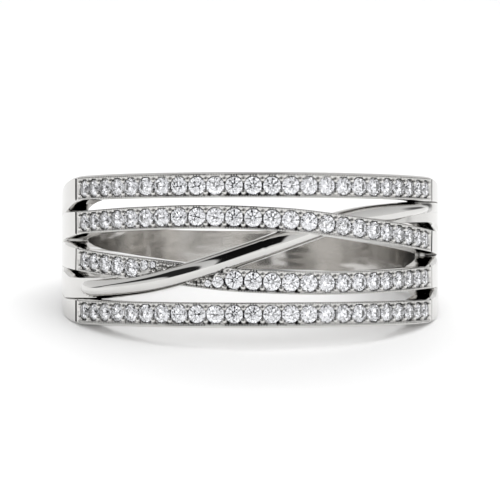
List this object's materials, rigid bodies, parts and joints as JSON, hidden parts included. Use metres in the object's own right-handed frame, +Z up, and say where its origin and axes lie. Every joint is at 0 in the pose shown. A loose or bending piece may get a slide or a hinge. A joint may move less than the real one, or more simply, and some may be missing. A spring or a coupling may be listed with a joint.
{
  "type": "crossover ring",
  "caption": "Wide finger ring: an open head of crossing strands, some set with small round stones and one plain and polished, on a band that narrows to the back.",
  "frame": {"origin": "middle of the finger hole; the ring lies on its side, and the surface it lies on is 2.9 mm below the origin", "axes": "+Z up from the surface it lies on, -Y towards the middle of the stone-set head, +X to the right as seen from in front of the head. The finger hole's axis leans back from +Z by 10.9 degrees"},
  "size_m": [0.0198, 0.0202, 0.0084],
  "materials": {
    "white_gold": "cast white gold, polished",
    "stones": "clear faceted stones"
  },
  "bodies": {
    "root": {"ring_band": "white_gold", "top_row_stones": "stones", "upper_cross_stones": "stones", "lower_cross_stones": "stones", "bottom_row_stones": "stones"}
  },
  "joints": []
}
